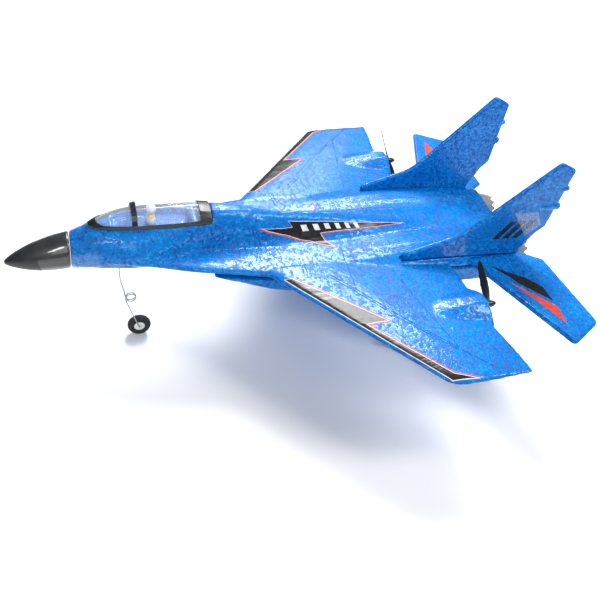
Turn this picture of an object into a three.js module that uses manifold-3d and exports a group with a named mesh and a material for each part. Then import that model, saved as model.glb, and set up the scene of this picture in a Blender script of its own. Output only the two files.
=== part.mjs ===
// A twin-engine jet in blue bead foam with two pusher propellers, standing on a sprung nose leg
// and two main legs. Millimetres, +Z up, nose towards -Y, left wing towards +X.
// The origin lies on the floor, below the middle of the model's bounding box.
// Places are given as a butt line x, a station s (aft of the nose tip) and a height h over the deck,
// the flat level on which the two fins stand.
import * as THREE from "three";
import { mergeVertices } from "three/addons/utils/BufferGeometryUtils.js";
import Module from "manifold-3d";

const wasm = await Module();
wasm.setup();

// Driving dimensions
const length = 470.3;
const halfSpan = 190;
const deckHeight = 115;
const gap = 0.3;
const undersideHeight = -14;

const nose = { tipHeight: -21.9, tipRadius: 2.2, jointStation: 51, jointHeight: -12.5, jointRadius: 15.5 };
const wing = { rootX: 50, leadingX: 61.6, leadingS: 210, tipLeadingS: 314.5,
  rootThickness: 9, tipThickness: 5.2,
  leadingHeight: -9.4, trailingHeight: -7.6, leadingDrop: 4.8, trailingDrop: 1.4, tipRounding: 7 };
const hump = { x: 114, halfWidth: 23, startS: 318, endS: 377, height: -9.4, rise: 10.6, fall: 4.6 };
const motor = { height: -6.6, radius: 4, startS: 357, length: 18, shaftRadius: 0.5, bore: 0.8 };
const propeller = { radius: 38, hubS: 381.6, hubRadius: 3.1, hubLength: 5, spinnerLength: 5, chord: 8.4 };
const fin = { x: 53, thickness: 5, cant: 3.5, tab: 3.5 };
const stabiliser = { thickness: 5, height: -7.6 };
const canopy = { endS: 163, wall: 0.7, frame: 0.9, archS: [99, 103.4], rearS: 154 };
const bay = { halfWidth: 13, startS: 196, endS: 286, roof: -3 };
const wheel = { radius: 10.5, width: 8, hubRadius: 5, bore: 0.9 };
const wireRadius = 0.6;
const noseGear = { s: 89.5, coilS: 99, coilHeight: -67.5, coilRadius: 4.8, axleS: 107 };
const mainGear = { x: 45, s: 338, wheelX: 49, axleS: 345 };
const axleHeight = wheel.radius - deckHeight;

const foam = { color: 0x1d6fd6, roughness: 0.6, metalness: 0 };
const blackPlastic = { color: 0x14171a, roughness: 0.35, metalness: 0 };
const greyPlastic = { color: 0x8d9294, roughness: 0.5, metalness: 0 };
const whitePlastic = { color: 0xf0f0ee, roughness: 0.4, metalness: 0 };
const clearPlastic = { color: 0xdfe9f2, roughness: 0.05, metalness: 0, transparent: true, opacity: 0.3 };
const steel = { color: 0x9aa0a4, roughness: 0.3, metalness: 1 };
const foamRubber = { color: 0x1b1d1e, roughness: 0.9, metalness: 0 };
const greenBoard = { color: 0x1b6b3a, roughness: 0.5, metalness: 0 };
const silverFoil = { color: 0xc4c8cc, roughness: 0.35, metalness: 0.8 };
const yellowCloth = { color: 0xe8b93a, roughness: 0.7, metalness: 0 };
const redWire = { color: 0xb3261e, roughness: 0.5, metalness: 0 };

const airplane = new THREE.Group();

// Frame: station and height to the part's own axes
const point = (x, s, h) => new THREE.Vector3(x, s - length / 2, h + deckHeight);

// Smooth curve through a few [station, value] pairs, flat beyond its ends
function profile(pairs) {
  return (s) => {
    const last = pairs.length - 1;
    if (s <= pairs[0][0]) return pairs[0][1];
    if (s >= pairs[last][0]) return pairs[last][1];
    const i = pairs.findIndex((pair) => pair[0] > s) - 1;
    const [s0, v0] = pairs[i];
    const [s1, v1] = pairs[i + 1];
    const slopeAt = (k) => {
      if (k === 0 || k === last) return (pairs[k ? last : 1][1] - pairs[k ? last - 1 : 0][1]) /
        (pairs[k ? last : 1][0] - pairs[k ? last - 1 : 0][0]);
      const before = (pairs[k][1] - pairs[k - 1][1]) / (pairs[k][0] - pairs[k - 1][0]);
      const after = (pairs[k + 1][1] - pairs[k][1]) / (pairs[k + 1][0] - pairs[k][0]);
      return before * after <= 0 ? 0 : (2 * before * after) / (before + after);
    };
    const run = s1 - s0;
    const t = (s - s0) / run;
    const t2 = t * t;
    const t3 = t2 * t;
    return v0 * (2 * t3 - 3 * t2 + 1) + v1 * (3 * t2 - 2 * t3) +
      run * (slopeAt(i) * (t3 - 2 * t2 + t) + slopeAt(i + 1) * (t3 - t2));
  };
}

const range = (count, make) => Array.from({ length: count }, (unused, i) => make(i));
const spread = (from, to, count) => range(count, (i) => from + ((to - from) * i) / (count - 1));
const clamp = (value, low, high) => Math.min(high, Math.max(low, value));

// Solids ------------------------------------------------------------------------------------------

function solidOf(geometry) {
  const bare = geometry.clone();
  bare.deleteAttribute("normal");
  bare.deleteAttribute("uv");
  const merged = mergeVertices(bare, 1e-4);
  const triVerts = new Uint32Array(merged.index.array);
  const vertProperties = merged.attributes.position.array;
  let solid = new wasm.Manifold(new wasm.Mesh({ numProp: 3, vertProperties, triVerts }));
  if (solid.volume() < 0) {
    for (let i = 0; i < triVerts.length; i += 3) {
      [triVerts[i], triVerts[i + 1]] = [triVerts[i + 1], triVerts[i]];
    }
    solid = new wasm.Manifold(new wasm.Mesh({ numProp: 3, vertProperties, triVerts }));
  }
  return solid;
}

function geometryOf(solid) {
  const mesh = solid.getMesh();
  const geometry = new THREE.BufferGeometry();
  const positions = new Float32Array(mesh.numVert * 3);
  for (let i = 0; i < mesh.numVert; i++) {
    positions.set(mesh.vertProperties.subarray(i * mesh.numProp, i * mesh.numProp + 3), i * 3);
  }
  geometry.setAttribute("position", new THREE.BufferAttribute(positions, 3));
  geometry.setIndex(new THREE.BufferAttribute(mesh.triVerts, 1));
  return geometry;
}

const join = (first, ...others) => others.reduce((sum, solid) => sum.add(solid), first);
const cut = (body, ...tools) => tools.reduce((rest, tool) => rest.subtract(tool), body);

// Skin over rings of points, one after another, with both ends closed
function loft(rings) {
  const count = rings[0].length;
  const points = rings.flat();
  const index = [];
  for (let r = 0; r + 1 < rings.length; r++) {
    for (let i = 0; i < count; i++) {
      const a = r * count + i;
      const b = r * count + ((i + 1) % count);
      index.push(a, b, a + count, b, b + count, a + count);
    }
  }
  for (const [ring, flip] of [[0, true], [rings.length - 1, false]]) {
    const centre = points.length;
    points.push(rings[ring].reduce((sum, p) => sum.add(p), new THREE.Vector3()).divideScalar(count));
    for (let i = 0; i < count; i++) {
      const a = ring * count + i;
      const b = ring * count + ((i + 1) % count);
      if (flip) index.push(centre, b, a);
      else index.push(centre, a, b);
    }
  }
  const geometry = new THREE.BufferGeometry().setFromPoints(points);
  geometry.setIndex(index);
  return solidOf(geometry);
}

// Axis-aligned block between two corners, each given as [x, station, height]
function block(low, high) {
  const a = point(...low);
  const b = point(...high);
  const size = b.clone().sub(a);
  const geometry = new THREE.BoxGeometry(size.x, size.y, size.z);
  geometry.translate((a.x + b.x) / 2, (a.y + b.y) / 2, (a.z + b.z) / 2);
  return solidOf(geometry);
}

// Turned piece: [radius, distance] pairs along an axis that starts at a point
function turned(pairs, start, axis, segments = 24) {
  const geometry = new THREE.LatheGeometry(pairs.map(([r, d]) => new THREE.Vector2(r, d)), segments);
  const turn = new THREE.Quaternion().setFromUnitVectors(new THREE.Vector3(0, 1, 0), axis.clone().normalize());
  geometry.applyQuaternion(turn).translate(start.x, start.y, start.z);
  return solidOf(geometry);
}

const rod = (start, axis, radius, long, segments = 16) =>
  turned([[0, 0], [radius, 0], [radius, long], [0, long]], start, axis, segments);

// Flat plate from an outline, extruded with rounded rims; lay() puts the flat shape in place
function plate(outline, thickness, round, lay, curveSegments = 6) {
  const geometry = new THREE.ExtrudeGeometry(outline, {
    depth: thickness - 2 * round, bevelThickness: round, bevelSize: round, bevelOffset: -round,
    bevelSegments: 1, curveSegments });
  geometry.translate(0, 0, round - thickness / 2);
  return solidOf(lay(geometry));
}

// Round wire along a run of points, with a bend at each one
function wire(points, radius, steps, sides = 8, tension = 0.5) {
  const path = new THREE.CatmullRomCurve3(points, false, "catmullrom", tension);
  const section = new THREE.Shape(range(sides, (i) =>
    new THREE.Vector2(radius * Math.cos((2 * Math.PI * i) / sides), radius * Math.sin((2 * Math.PI * i) / sides))));
  return solidOf(new THREE.ExtrudeGeometry(section, { steps, extrudePath: path, bevelEnabled: false }));
}

const left = new THREE.Vector3(1, 0, 0);
const aft = new THREE.Vector3(0, 1, 0);
const up = new THREE.Vector3(0, 0, 1);
const mirrored = (solid) => solid.mirror([1, 0, 0]);
const sides = [["left", (solid) => solid, 1], ["right", mirrored, -1]];

function add(name, solid, finish) {
  const mesh = new THREE.Mesh(geometryOf(solid), new THREE.MeshStandardMaterial(finish));
  mesh.name = name;
  airplane.add(mesh);
}

// Foam airframe -----------------------------------------------------------------------------------

const bodyHalfWidth = profile([[51, 15.5], [66, 20], [88, 27.5], [114, 34], [150, 44], [180, 50.5], [211, 57],
  [240, 60], [372, 60], [410, 58], [447, 55]]);
const edgeHeight = profile([[51, -12.5], [70, -11.2], [88, -9.5], [114, -9], [400, -9], [447, -11]]);
const edgeThickness = profile([[51, 0.2], [70, 0.8], [114, 2.5], [240, 4], [300, 6.5], [335, 9.4], [447, 12]]);
const edgeDrop = profile([[51, 0.2], [70, 1], [114, 3], [148, 5], [400, 5], [447, 3]]);
const domeHeight = profile([[51, 15.3], [59, 17.6], [66, 21.2], [74, 23.2], [87, 23.9], [104, 24.2], [115, 25],
  [130, 26.1], [150, 29.2], [163, 30], [176, 29.7], [191, 28], [204, 25.6], [221, 21.8], [238, 20.4], [260, 18.5],
  [275, 17], [300, 13], [330, 8.5], [360, 5], [400, 2.5], [447, 1]]);
const domeHalfWidth = profile([[51, 15.5], [59, 18], [66, 20], [74, 22], [87, 26], [104, 30], [115, 27], [130, 24],
  [150, 19], [163, 17.8], [190, 15.5], [215, 16.5], [240, 20], [270, 24], [447, 25]]);
const domeFullness = profile([[51, 2], [115, 2], [130, 2.1], [150, 3], [163, 3.4], [176, 2.6], [191, 2.3], [221, 2]]);
const bellyDepth = profile([[51, 15.3], [66, 14.5], [90, 15], [105, 13.5], [120, 9], [135, 4], [148, 0]]);
const bellyHalfWidth = profile([[51, 15.5], [66, 19.5], [88, 24], [114, 27], [150, 30]]);
const nacelleSwell = profile([[215, 0], [280, 2.4], [340, 3.4], [447, 3]]);

const rim = (ratio, power) => Math.sqrt(Math.max(0, 1 - Math.abs(ratio) ** power));

// Height of the upper skin: a flat edge band with a dome on it, round in front and bell-shaped behind
function deckTop(x, s) {
  const across = Math.abs(x);
  const reach = clamp(across / domeHalfWidth(s), 0, 1);
  const round = rim(reach, domeFullness(s));
  const bell = 0.5 + 0.5 * Math.cos(Math.PI * reach);
  const blend = clamp((s - 195) / 55, 0, 1);
  const dome = domeHeight(s) * (round * (1 - blend) + bell * blend);
  const swell = nacelleSwell(s) * Math.exp(-(((across - 34) / 13) ** 2));
  return edgeHeight(s) + edgeThickness(s) * rim(x / bodyHalfWidth(s), 10) + dome + swell;
}

function underside(x, s) {
  const reach = clamp(Math.abs(x) / bellyHalfWidth(s), 0, 1);
  return edgeHeight(s) - edgeDrop(s) * rim(x / bodyHalfWidth(s), 10) - bellyDepth(s) * rim(reach, 2.2);
}

const mirrorRow = (row) => [...row, ...row.slice(0, -1).reverse().map((x) => -x)];

function bodyRing(s) {
  const half = bodyHalfWidth(s);
  const dome = domeHalfWidth(s);
  const between = (share) => dome + (half - dome) * share;
  const across = mirrorRow([half, between(0.92), between(0.7), between(0.4), between(0.12), 0.98 * dome, 0.9 * dome,
    0.76 * dome, 0.54 * dome, 0.28 * dome, 0]);
  const under = mirrorRow([0.988, 0.9, 0.68, 0.42, 0.2, 0].map((share) => share * half));
  const top = across.map((x) => point(x, s, deckTop(x, s)));
  const bottom = under.map((x) => point(-x, s, underside(x, s)));
  return [...top, ...bottom];
}

function body() {
  const stations = [51, 55, 60, 66, 73, 81, 91, 102, 113, 124, 135, 143, 150, 157, 163, 170, 178, 188, 200, 213, 227,
    243, 260, 278, 298, 318, 338, 362, 388, 418, 447];
  return loft(stations.map(bodyRing));
}

// Trailing edge, notched forward behind the motor to clear the propeller
const trailingEdge = profile([[50, 371], [62, 372.3], [91, 374.6], [136, 374.8], [138.5, 375.3],
  [190, 383.2]]);

// Wing rib at butt line x: rounded leading edge, thickest at a third of the chord, thin trailing edge
function wingRib(x) {
  const out = clamp((x - wing.leadingX) / (halfSpan - wing.leadingX), -0.2, 1);
  const corner = clamp((x - (halfSpan - wing.tipRounding)) / wing.tipRounding, 0, 1);
  const lead = wing.leadingS + (wing.tipLeadingS - wing.leadingS) * out +
    wing.tipRounding * 1.3 * (1 - Math.sqrt(1 - corner * corner));
  const trail = trailingEdge(x);
  const thick = (wing.rootThickness + (wing.tipThickness - wing.rootThickness) * out) *
    (1 - 0.45 * corner * corner);
  const leadHeight = wing.leadingHeight - wing.leadingDrop * out;
  const trailHeight = wing.trailingHeight - wing.trailingDrop * out;
  const middle = (c) => leadHeight + (trailHeight - leadHeight) * c;
  const stops = [0, 0.012, 0.05, 0.16, 0.35, 0.65, 0.97];
  const depth = [0, 0.42, 0.7, 0.93, 1, 0.78, 0.42];
  const skin = (side) => stops.map((c, i) =>
    point(x, lead + (trail - lead) * c, middle(c) + (side * thick * depth[i]) / 2));
  return [...skin(1), point(x, trail, middle(1)), ...skin(-1).slice(1).reverse()];
}

function wingPanel() {
  return loft([wing.rootX, 64, 80, 91, 114, 136, 138.5, 160, 183, 186, 188.6, halfSpan].map(wingRib));
}

// Motor fairing that swells out of the wing towards its trailing edge
function motorHump() {
  const ring = (s) => {
    const along = (s - hump.startS) / (hump.endS - hump.startS);
    const grow = Math.sin((Math.PI / 2) * along) ** 1.2;
    const half = hump.halfWidth * (0.7 + 0.3 * along);
    const arc = (sign, height) => range(8, (i) => {
      const u = sign * Math.cos((Math.PI * i) / 7);
      return point(hump.x + half * u, s, hump.height + sign * (0.6 + height * grow * (1 - u * u) ** 1.35));
    });
    return [...arc(1, hump.rise), ...arc(-1, hump.fall)];
  };
  return loft([...spread(hump.startS, hump.endS - 3, 7), hump.endS].map(ring));
}

const tailEdge = {
  innerX: 51, rootX: 60.5, rootS: 393.6, tipX: 169, tipS: 434.5,
  rearX: 149, rearS: 470.5, innerS: 467.5, endS: 451,
};

// Tailplane outline, drawn with x across and the station upwards
function stabiliserShape(grow = 0) {
  const outline = new THREE.Shape();
  const corner = 4;
  outline.moveTo(tailEdge.innerX - grow, tailEdge.rootS - 5 - grow);
  outline.lineTo(tailEdge.rootX, tailEdge.rootS - grow);
  outline.lineTo(tailEdge.tipX - corner, tailEdge.tipS - corner * 0.4 - grow);
  outline.quadraticCurveTo(tailEdge.tipX + grow, tailEdge.tipS - grow, tailEdge.tipX - 1.5 + grow, tailEdge.tipS + corner);
  outline.lineTo(tailEdge.rearX + 2.5 + grow, tailEdge.rearS - corner);
  outline.quadraticCurveTo(tailEdge.rearX + grow, tailEdge.rearS + grow, tailEdge.rearX - corner, tailEdge.rearS - 0.2 + grow);
  outline.lineTo(tailEdge.rootX + 3, tailEdge.innerS + grow);
  outline.lineTo(tailEdge.innerX + 1, tailEdge.endS + grow);
  outline.lineTo(tailEdge.innerX - grow, tailEdge.endS - 2 + grow);
  return outline;
}

const layFlat = (height) => (geometry) => geometry.translate(0, -length / 2, height + deckHeight);

const stabiliserPlate = () => plate(stabiliserShape(), stabiliser.thickness, 1.4, layFlat(stabiliser.height), 5);
const stabiliserSlot = () =>
  plate(stabiliserShape(gap), stabiliser.thickness + 2 * gap, 0.2, layFlat(stabiliser.height), 2);

// Fin outline, drawn with the station across and the height upwards
function finShape() {
  const outline = new THREE.Shape();
  outline.moveTo(326, -fin.tab);
  outline.lineTo(324.5, 0.5);
  outline.quadraticCurveTo(324, 4, 328, 5.2);
  outline.lineTo(366, 18);
  outline.quadraticCurveTo(375, 21.5, 382, 28.5);
  outline.lineTo(443, 93);
  outline.quadraticCurveTo(445, 95.5, 448, 94.5);
  outline.lineTo(460.5, 89);
  outline.quadraticCurveTo(462.5, 88, 462.3, 86);
  outline.lineTo(459.5, 27.5);
  outline.lineTo(452, 19.5);
  outline.lineTo(443, 0.5);
  outline.lineTo(441, -fin.tab);
  return outline;
}

// Stands a drawn fin on the deck, leaning outwards
function standFin(geometry) {
  geometry.applyMatrix4(new THREE.Matrix4().makeBasis(aft, up, left));
  geometry.rotateY(THREE.MathUtils.degToRad(fin.cant));
  return geometry.translate(fin.x, -length / 2, deckHeight);
}

// Spindle-shaped aerial fairing on the fin's rear edge
function finFairing(startS, endS, height, radius) {
  const long = endS - startS;
  const spindle = new THREE.LatheGeometry([[0, 0], [0.45, 0.15], [0.8, 0.4], [1, 0.7], [1, 0.93], [0.7, 0.99], [0, 1]]
    .map(([r, d]) => new THREE.Vector2(r * radius, d * long)), 10);
  spindle.rotateZ(-Math.PI / 2).translate(startS, height, 0.6);
  return solidOf(standFin(spindle));
}

const finBlade = () => join(plate(finShape(), fin.thickness, 1.5, standFin, 5),
  finFairing(431, 464, 50, 3.6), finFairing(448, 464.5, 69, 2.7));

function finSlot() {
  const outline = [[323.4, -fin.tab - gap], [323.4, 14], [444, 14], [443.4, 0.5], [441.5, -fin.tab - gap]];
  const shape = new THREE.Shape(outline.map((p) => new THREE.Vector2(...p)));
  return plate(shape, fin.thickness + 2 * gap, 0.1, standFin, 1);
}

// Canopy and cockpit ------------------------------------------------------------------------------

const sillHeight = profile([[66, 11], [70, 11.2], [74, 11.4], [80, 12], [86.7, 12.9], [95, 13.7], [104, 14.3],
  [129, 15.1], [153, 16.3], [163, 16.8]]);
const canopyHalfWidth = profile([[66, 1.6], [68, 3.6], [71, 5.6], [74, 7], [80, 9.4], [86.7, 11.5], [95, 13.2],
  [104, 14.2], [129, 14.5], [163, 14]]);
const canopyRise = profile([[66, 2], [68, 3.2], [74, 5.5], [80, 8], [86.7, 10], [95, 12.4], [104, 14.3], [129, 14.8],
  [142, 12.4], [153.5, 9.5], [163, 7.6]]);
const canopyStations = [66, 67.2, 69.5, 73, 78, 85, 94, 104, 118, 132, 145, 155, 163];

// Canopy form, grown or shrunk by an even offset, with its arch lowered to a share of its height
function canopyForm(grow, skirt, share = 1) {
  const last = canopyStations.length - 1;
  const ring = (s, i) => {
    const half = Math.max(0.4, canopyHalfWidth(s) + grow);
    const rise = Math.max(0.3, canopyRise(s) * share + grow);
    const shift = i === 0 ? -grow * 0.6 : i === last ? grow : 0;
    const arch = range(13, (k) => {
      const turn = (Math.PI * k) / 12;
      return point(half * Math.cos(turn), s + shift, sillHeight(s) + rise * Math.sin(turn));
    });
    const base = [-1, 1].map((side) => point(side * half, s + shift, sillHeight(s) - skirt));
    return [...arch, ...base];
  };
  return loft(canopyStations.map(ring));
}

const cockpit = { floor: 11.6, startS: 84, endS: 147, lip: 4 };

// Trench for the canopy rim around a low foam lip, with the sunk cockpit floor inside the lip
function cockpitHollow() {
  const lip = canopyForm(-canopy.wall - gap, 12, 0.32);
  const ring = (s) => {
    const half = canopyHalfWidth(s) - cockpit.lip;
    return [[half, 60], [-half, 60], [-half, cockpit.floor], [half, cockpit.floor]].map(([x, h]) => point(x, s, h));
  };
  const pit = loft([cockpit.startS, 93, 104, 129, cockpit.endS].map(ring)).intersect(canopyForm(-canopy.wall, 12));
  return join(cut(canopyForm(canopy.frame + gap, 0.9), lip), pit);
}

const canopyShell = () => cut(canopyForm(0, 0.3), canopyForm(-canopy.wall, 1));

// Black frame over the clear shell: front cap and sill rails, windscreen arch and rear band
function canopyFrame() {
  const skin = cut(canopyForm(canopy.frame, 0.3), canopyForm(gap, 2));
  const railDepth = profile([[66, 12], [71, 6], [76, 3.4], [163, 3.4]]);
  const rail = loft(canopyStations.map((s, i) => {
    const end = i === 0 ? -2 : i === canopyStations.length - 1 ? 2 : 0;
    return [[30, railDepth(s)], [-30, railDepth(s)], [-30, -3], [30, -3]].map(([x, lift]) =>
      point(x, s + end, sillHeight(s) + lift));
  }));
  const arch = block([-30, canopy.archS[0], 0], [30, canopy.archS[1], 60]);
  const rear = block([-30, canopy.rearS, 0], [30, canopy.endS + 3, 60]);
  return skin.intersect(join(rail, arch, rear));
}

const pilot = { s: 115.6, headHeight: 23.9, headRadius: 4.3, seat: cockpit.floor + gap };

function pilotTorso() {
  const ring = ([h, halfWide, halfDeep]) => range(14, (i) => {
    const turn = (2 * Math.PI * i) / 14;
    return point(halfWide * Math.cos(turn), pilot.s + halfDeep * Math.sin(turn), h);
  });
  return loft([[pilot.seat, 6, 3.6], [pilot.seat + 3, 6.6, 3.8], [pilot.seat + 5.4, 5.6, 3.2],
    [pilot.seat + 6.8, 3, 2.4], [pilot.seat + 7.4, 2.2, 2]].map(ring));
}

function pilotHelmet() {
  const ball = new THREE.SphereGeometry(pilot.headRadius, 12, 8);
  ball.scale(1, 1.06, 1);
  const centre = point(0, pilot.s, pilot.headHeight);
  ball.translate(centre.x, centre.y, centre.z);
  return solidOf(ball);
}

// Nose cone: drooped ogive with a blunt tip and a flat joint face
function noseCone() {
  const tip = point(0, nose.tipRadius * 0.2, nose.tipHeight);
  const base = point(0, nose.jointStation - gap, nose.jointHeight);
  const run = nose.jointStation - gap;
  const ring = (share) => {
    const radius = nose.tipRadius * 0.55 + (nose.jointRadius - nose.tipRadius * 0.55) *
      Math.sin((Math.PI / 2) * share ** 0.85) ** 0.9;
    const centre = tip.clone().lerp(base, share);
    return range(28, (i) => {
      const turn = (2 * Math.PI * i) / 28;
      return new THREE.Vector3(centre.x + radius * Math.cos(turn), -length / 2 + run * share,
        centre.z + radius * Math.sin(turn));
    });
  };
  return loft([0, 0.012, 0.05, 0.12, 0.22, 0.34, 0.48, 0.64, 0.82, 1].map(ring));
}

// Engine nacelles, nozzles and tail -----------------------------------------------------------------

const nacelleOuter = profile([[154, 43], [175, 51], [205, 55.5], [260, 57], [445, 57]]);
const nacelleBottom = profile([[154, -28.5], [205, -30.5], [260, -31.8], [330, -32.9], [360, -33.2], [400, -33.2],
  [445, -32]]);
const nacelle = { innerX: 18, top: undersideHeight - gap, endS: 446.7, corner: 6 };
const nozzle = { x: 33, height: -14.3, radius: 15.2, endRadius: 12.6, startS: 444.6, endS: 463, wall: 1.3, teeth: 12 };

// Section of a nacelle: square top corners, rounded lower corners and a flat underside
function nacelleRing(s, slant, inset = 0) {
  const inner = nacelle.innerX + inset;
  const outer = nacelleOuter(s) - inset;
  const top = nacelle.top - inset;
  const bottom = nacelleBottom(s) + inset;
  const corner = Math.min(nacelle.corner, (top - bottom) * 0.8);
  const lower = (x, side, from) => range(4, (i) => {
    const turn = from + ((Math.PI / 2) * i) / 3;
    return [x + side * corner + corner * Math.cos(turn), bottom + corner + corner * Math.sin(turn)];
  });
  const outline = [[outer, top], [inner, top], ...lower(inner, 1, Math.PI), ...lower(outer, -1, 1.5 * Math.PI)];
  return outline.map(([x, h]) => point(x, s + (slant * (top - h)) / (top - bottom), h));
}

function nacelleBody() {
  const outer = loft([[160, 44], [185, 32], [215, 18], [250, 8], [290, 0], [330, 0], [360, 0], [400, 0],
    [nacelle.endS, 0]].map(([s, slant]) => nacelleRing(s, slant)));
  const inlet = loft([[157, 45.5], [176, 36], [198, 26]].map(([s, slant]) => nacelleRing(s, slant, 2.2)));
  return cut(outer, inlet, nozzleSeat(), mainSocketPocket());
}

const nozzleSeat = () =>
  rod(point(nozzle.x, nozzle.startS - gap, nozzle.height), aft, nozzle.radius + gap, 30, 24);

// Tapered nozzle cup whose rim is cut into petals
function nozzleCup() {
  const start = point(nozzle.x, nozzle.startS, nozzle.height);
  const long = nozzle.endS - nozzle.startS;
  const cup = turned([[0, 0], [nozzle.radius, 0], [nozzle.radius, 3], [nozzle.endRadius, long],
    [nozzle.endRadius - nozzle.wall, long], [nozzle.radius - nozzle.wall - 1, 3], [0, 3]], start, aft, 24);
  const notch = new THREE.Shape(
    [[-2.4, 0.1], [2.4, 0.1], [0.4, -3.4], [-0.4, -3.4]].map((p) => new THREE.Vector2(...p)));
  const notches = range(nozzle.teeth, (i) => {
    const wedge = new THREE.ExtrudeGeometry(notch, { depth: 12, bevelEnabled: false });
    wedge.translate(0, long, nozzle.endRadius - 8).rotateY((2 * Math.PI * (i + 0.5)) / nozzle.teeth);
    return solidOf(wedge.translate(start.x, start.y, start.z));
  });
  return cut(cup, ...notches);
}

// Landing gear --------------------------------------------------------------------------------------

const mainSocketPocket = () => rod(point(mainGear.x, mainGear.s, -60), up, 3.4 + gap, 43.5, 16);
const noseSocketPocket = () => rod(point(0, noseGear.s, -60), up, 3.4 + gap, 48.5, 16);

// Plug in the foam that grips a leg
function legSocket(x, s, low, high) {
  const plug = join(rod(point(x, s, low), up, 3.4, high - low, 12), rod(point(x, s, low - 1.2), up, 5.4, 1.2, 16));
  return cut(plug, rod(point(x, s, low - 3), up, wheel.bore, high - low + 2.4, 8));
}

function tyre(x, s) {
  const half = wheel.width / 2;
  const { radius, hubRadius } = wheel;
  const bore = hubRadius + gap / 2;
  const rows = [[bore, -half + 1], [hubRadius + 2, -half], [radius - 1.3, -half + 1], [radius, -1], [radius, 1],
    [radius - 1.3, half - 1], [hubRadius + 2, half], [bore, half - 1], [bore, -half + 1]];
  return turned(rows, point(x, s, axleHeight), left, 24);
}

function hub(x, s) {
  const half = wheel.width / 2 - 0.8;
  const rows = [[wheel.bore, -half], [wheel.hubRadius - 1.2, -half], [wheel.hubRadius - gap / 2, -half + 0.8],
    [wheel.hubRadius - gap / 2, half - 0.8], [wheel.hubRadius - 1.2, half], [wheel.bore, half], [wheel.bore, -half]];
  return turned(rows, point(x, s, axleHeight), left, 20);
}

const axleCap = (x, s, side) => turned([[0, 0], [1.7, 0], [1.7, 1.1], [0.9, 1.8], [0, 1.8]],
  point(x, s, axleHeight), left.clone().multiplyScalar(side), 12);

// Nose leg: wire down to a torsion coil; the lower leg hangs from the coil's front and ends in the axle
const coil = { turns: 3, pitch: 1.55, startX: 0.6 };
const noseLegX = coil.startX + coil.turns * coil.pitch;

// Angle, in the plane of the wheel, at which the lower leg leaves the coil
function legTangent() {
  const run = noseGear.axleS - noseGear.coilS;
  const fall = axleHeight - noseGear.coilHeight;
  const far = Math.hypot(run, fall);
  return Math.atan2(fall, run) - Math.acos(noseGear.coilRadius / far);
}

const onCoil = (x, turn, radius = noseGear.coilRadius) => point(x,
  noseGear.coilS + radius * Math.cos(turn), noseGear.coilHeight + radius * Math.sin(turn));

function noseLegUpper() {
  const steps = 14;
  const end = legTangent() + 2 * Math.PI;
  const sweep = end - Math.PI + 2 * Math.PI * (coil.turns - 1);
  const count = Math.round((sweep / (2 * Math.PI)) * steps);
  const turns = range(count, (i) => {
    const share = (i + 1) / count;
    return onCoil(coil.startX + (noseLegX - coil.startX) * share, Math.PI + sweep * share);
  });
  const top = [point(0, noseGear.s, -17), point(0, noseGear.s, -30), point(0, noseGear.s + 1.2, -50),
    point(coil.startX * 0.6, noseGear.coilS - noseGear.coilRadius - 0.4, -62), onCoil(coil.startX, Math.PI)];
  return wire([...top, ...turns], wireRadius, top.length * 2 + count, 6, 0.5);
}

function noseLegLower() {
  const start = onCoil(noseLegX, legTangent());
  const axle = point(noseLegX, noseGear.axleS, axleHeight);
  const down = axle.clone().sub(start).normalize();
  const elbow = axle.clone().addScaledVector(down, -1.6);
  const legWire = wire([start.clone().addScaledVector(down, 0.45), start.clone().lerp(elbow, 0.5), elbow,
    point(noseLegX - 0.5, noseGear.axleS - 0.1, axleHeight + 0.2), point(noseLegX - 1.8, noseGear.axleS, axleHeight),
    point(-5.6, noseGear.axleS, axleHeight)], wireRadius, 20, 6, 0.4);
  return legWire;
}

function mainLeg() {
  const { x, s, wheelX, axleS } = mainGear;
  const inner = wheelX - wheel.width / 2 - 1.4;
  return wire([point(x, s, -18), point(x, s, -31), point(x, s, -37), point(x, s, -42),
    point(x, s + 1.2, -64), point(inner, axleS - 0.6, axleHeight + 4),
    point(inner + 0.3, axleS, axleHeight + 0.6), point(inner + 1.6, axleS, axleHeight),
    point(wheelX + wheel.width / 2 + 1.6, axleS, axleHeight)], wireRadius, 24, 6, 0.4);
}

// Power units ---------------------------------------------------------------------------------------

const motorCan = () => turned([[0, 0], [1.4, 0], [1.4, 0.8], [motor.radius, 0.8], [motor.radius, motor.length - 0.8],
  [motor.radius - 0.8, motor.length], [motor.bore + 0.1, motor.length], [motor.bore + 0.1, motor.length - 6],
  [0, motor.length - 6]], point(hump.x, motor.startS, motor.height), aft, 16);

const motorShaft = () =>
  rod(point(hump.x, motor.startS + motor.length - 5.6, motor.height), aft, motor.shaftRadius, 13, 10);

// Plastic collar that closes the fairing round the motor
function motorMount() {
  const start = point(hump.x, 372, motor.height);
  return turned([[motor.radius + gap, 0], [5.8, 0], [5.8, 5], [4.9, 6.2], [2.4, 6.2], [2.4, 3.4],
    [motor.radius + gap, 3.4], [motor.radius + gap, 0]], start, aft, 20);
}

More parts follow.
